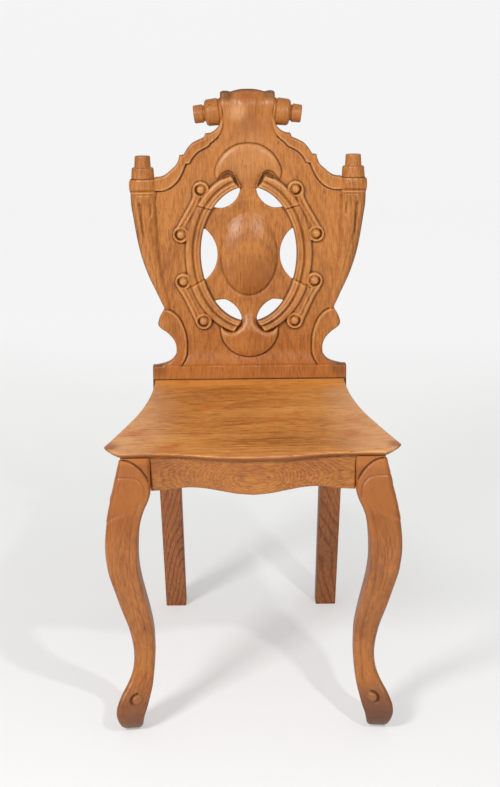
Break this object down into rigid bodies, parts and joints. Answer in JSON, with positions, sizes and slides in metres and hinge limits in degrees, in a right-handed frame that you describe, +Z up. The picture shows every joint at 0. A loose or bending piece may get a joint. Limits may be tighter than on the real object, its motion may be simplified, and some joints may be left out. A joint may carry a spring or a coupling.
{
  "type": "hall chair",
  "caption": "Oak hall chair with a shaped board seat, curved front legs, swept rear legs and a carved, pierced shield back with a rolled crest.",
  "frame": {"origin": "on the floor, in the middle of the chair's bounding box", "axes": "+Z up, the chair faces -Y, +X to the right as seen from the front"},
  "size_m": [0.4304, 0.514, 0.9196],
  "materials": {
    "oak_seat": "waxed oak, orange brown, worn paler at its edges",
    "oak_back": "waxed oak, carved, darker in its hollows",
    "oak_frame": "waxed oak",
    "oak_legs": "waxed oak, darker at the feet",
    "oak_rear_legs": "stained oak, redder and darker",
    "bare_wood": "unfinished softwood and beech, hidden",
    "screw_steel": "plain steel, a little dull"
  },
  "bodies": {
    "root": {"back_board_left": "oak_back", "back_board_centre": "oak_back", "back_board_right": "oak_back", "crest_back_block": "oak_back", "crest_roll_left": "oak_back", "crest_roll_right": "oak_back", "shoulder_post_left": "oak_back", "shoulder_post_right": "oak_back", "seat_board_front": "oak_seat", "seat_board_middle": "oak_seat", "seat_board_rear": "oak_seat", "front_rail": "oak_frame", "side_rail_left": "oak_frame", "side_rail_right": "oak_frame", "rear_rail": "oak_frame", "front_leg_left": "oak_legs", "front_leg_right": "oak_legs", "rear_leg_left": "oak_rear_legs", "rear_leg_right": "oak_rear_legs", "corner_block_front_left": "bare_wood", "corner_block_front_right": "bare_wood", "corner_block_rear_left": "bare_wood", "corner_block_rear_right": "bare_wood", "back_dowel_left_1": "bare_wood", "back_dowel_left_2": "bare_wood", "back_dowel_left_3": "bare_wood", "back_dowel_left_4": "bare_wood", "back_dowel_right_1": "bare_wood", "back_dowel_right_2": "bare_wood", "back_dowel_right_3": "bare_wood", "back_dowel_right_4": "bare_wood", "back_foot_dowel_1": "bare_wood", "back_foot_dowel_2": "bare_wood", "back_foot_dowel_3": "bare_wood", "seat_dowel_1": "bare_wood", "seat_dowel_2": "bare_wood", "seat_dowel_3": "bare_wood", "seat_dowel_4": "bare_wood", "seat_dowel_5": "bare_wood", "seat_dowel_6": "bare_wood", "seat_screw_1": "screw_steel", "seat_screw_2": "screw_steel", "seat_screw_3": "screw_steel", "seat_screw_4": "screw_steel", "back_screw_1": "screw_steel", "back_screw_2": "screw_steel", "back_screw_3": "screw_steel", "back_screw_4": "screw_steel"}
  },
  "joints": []
}
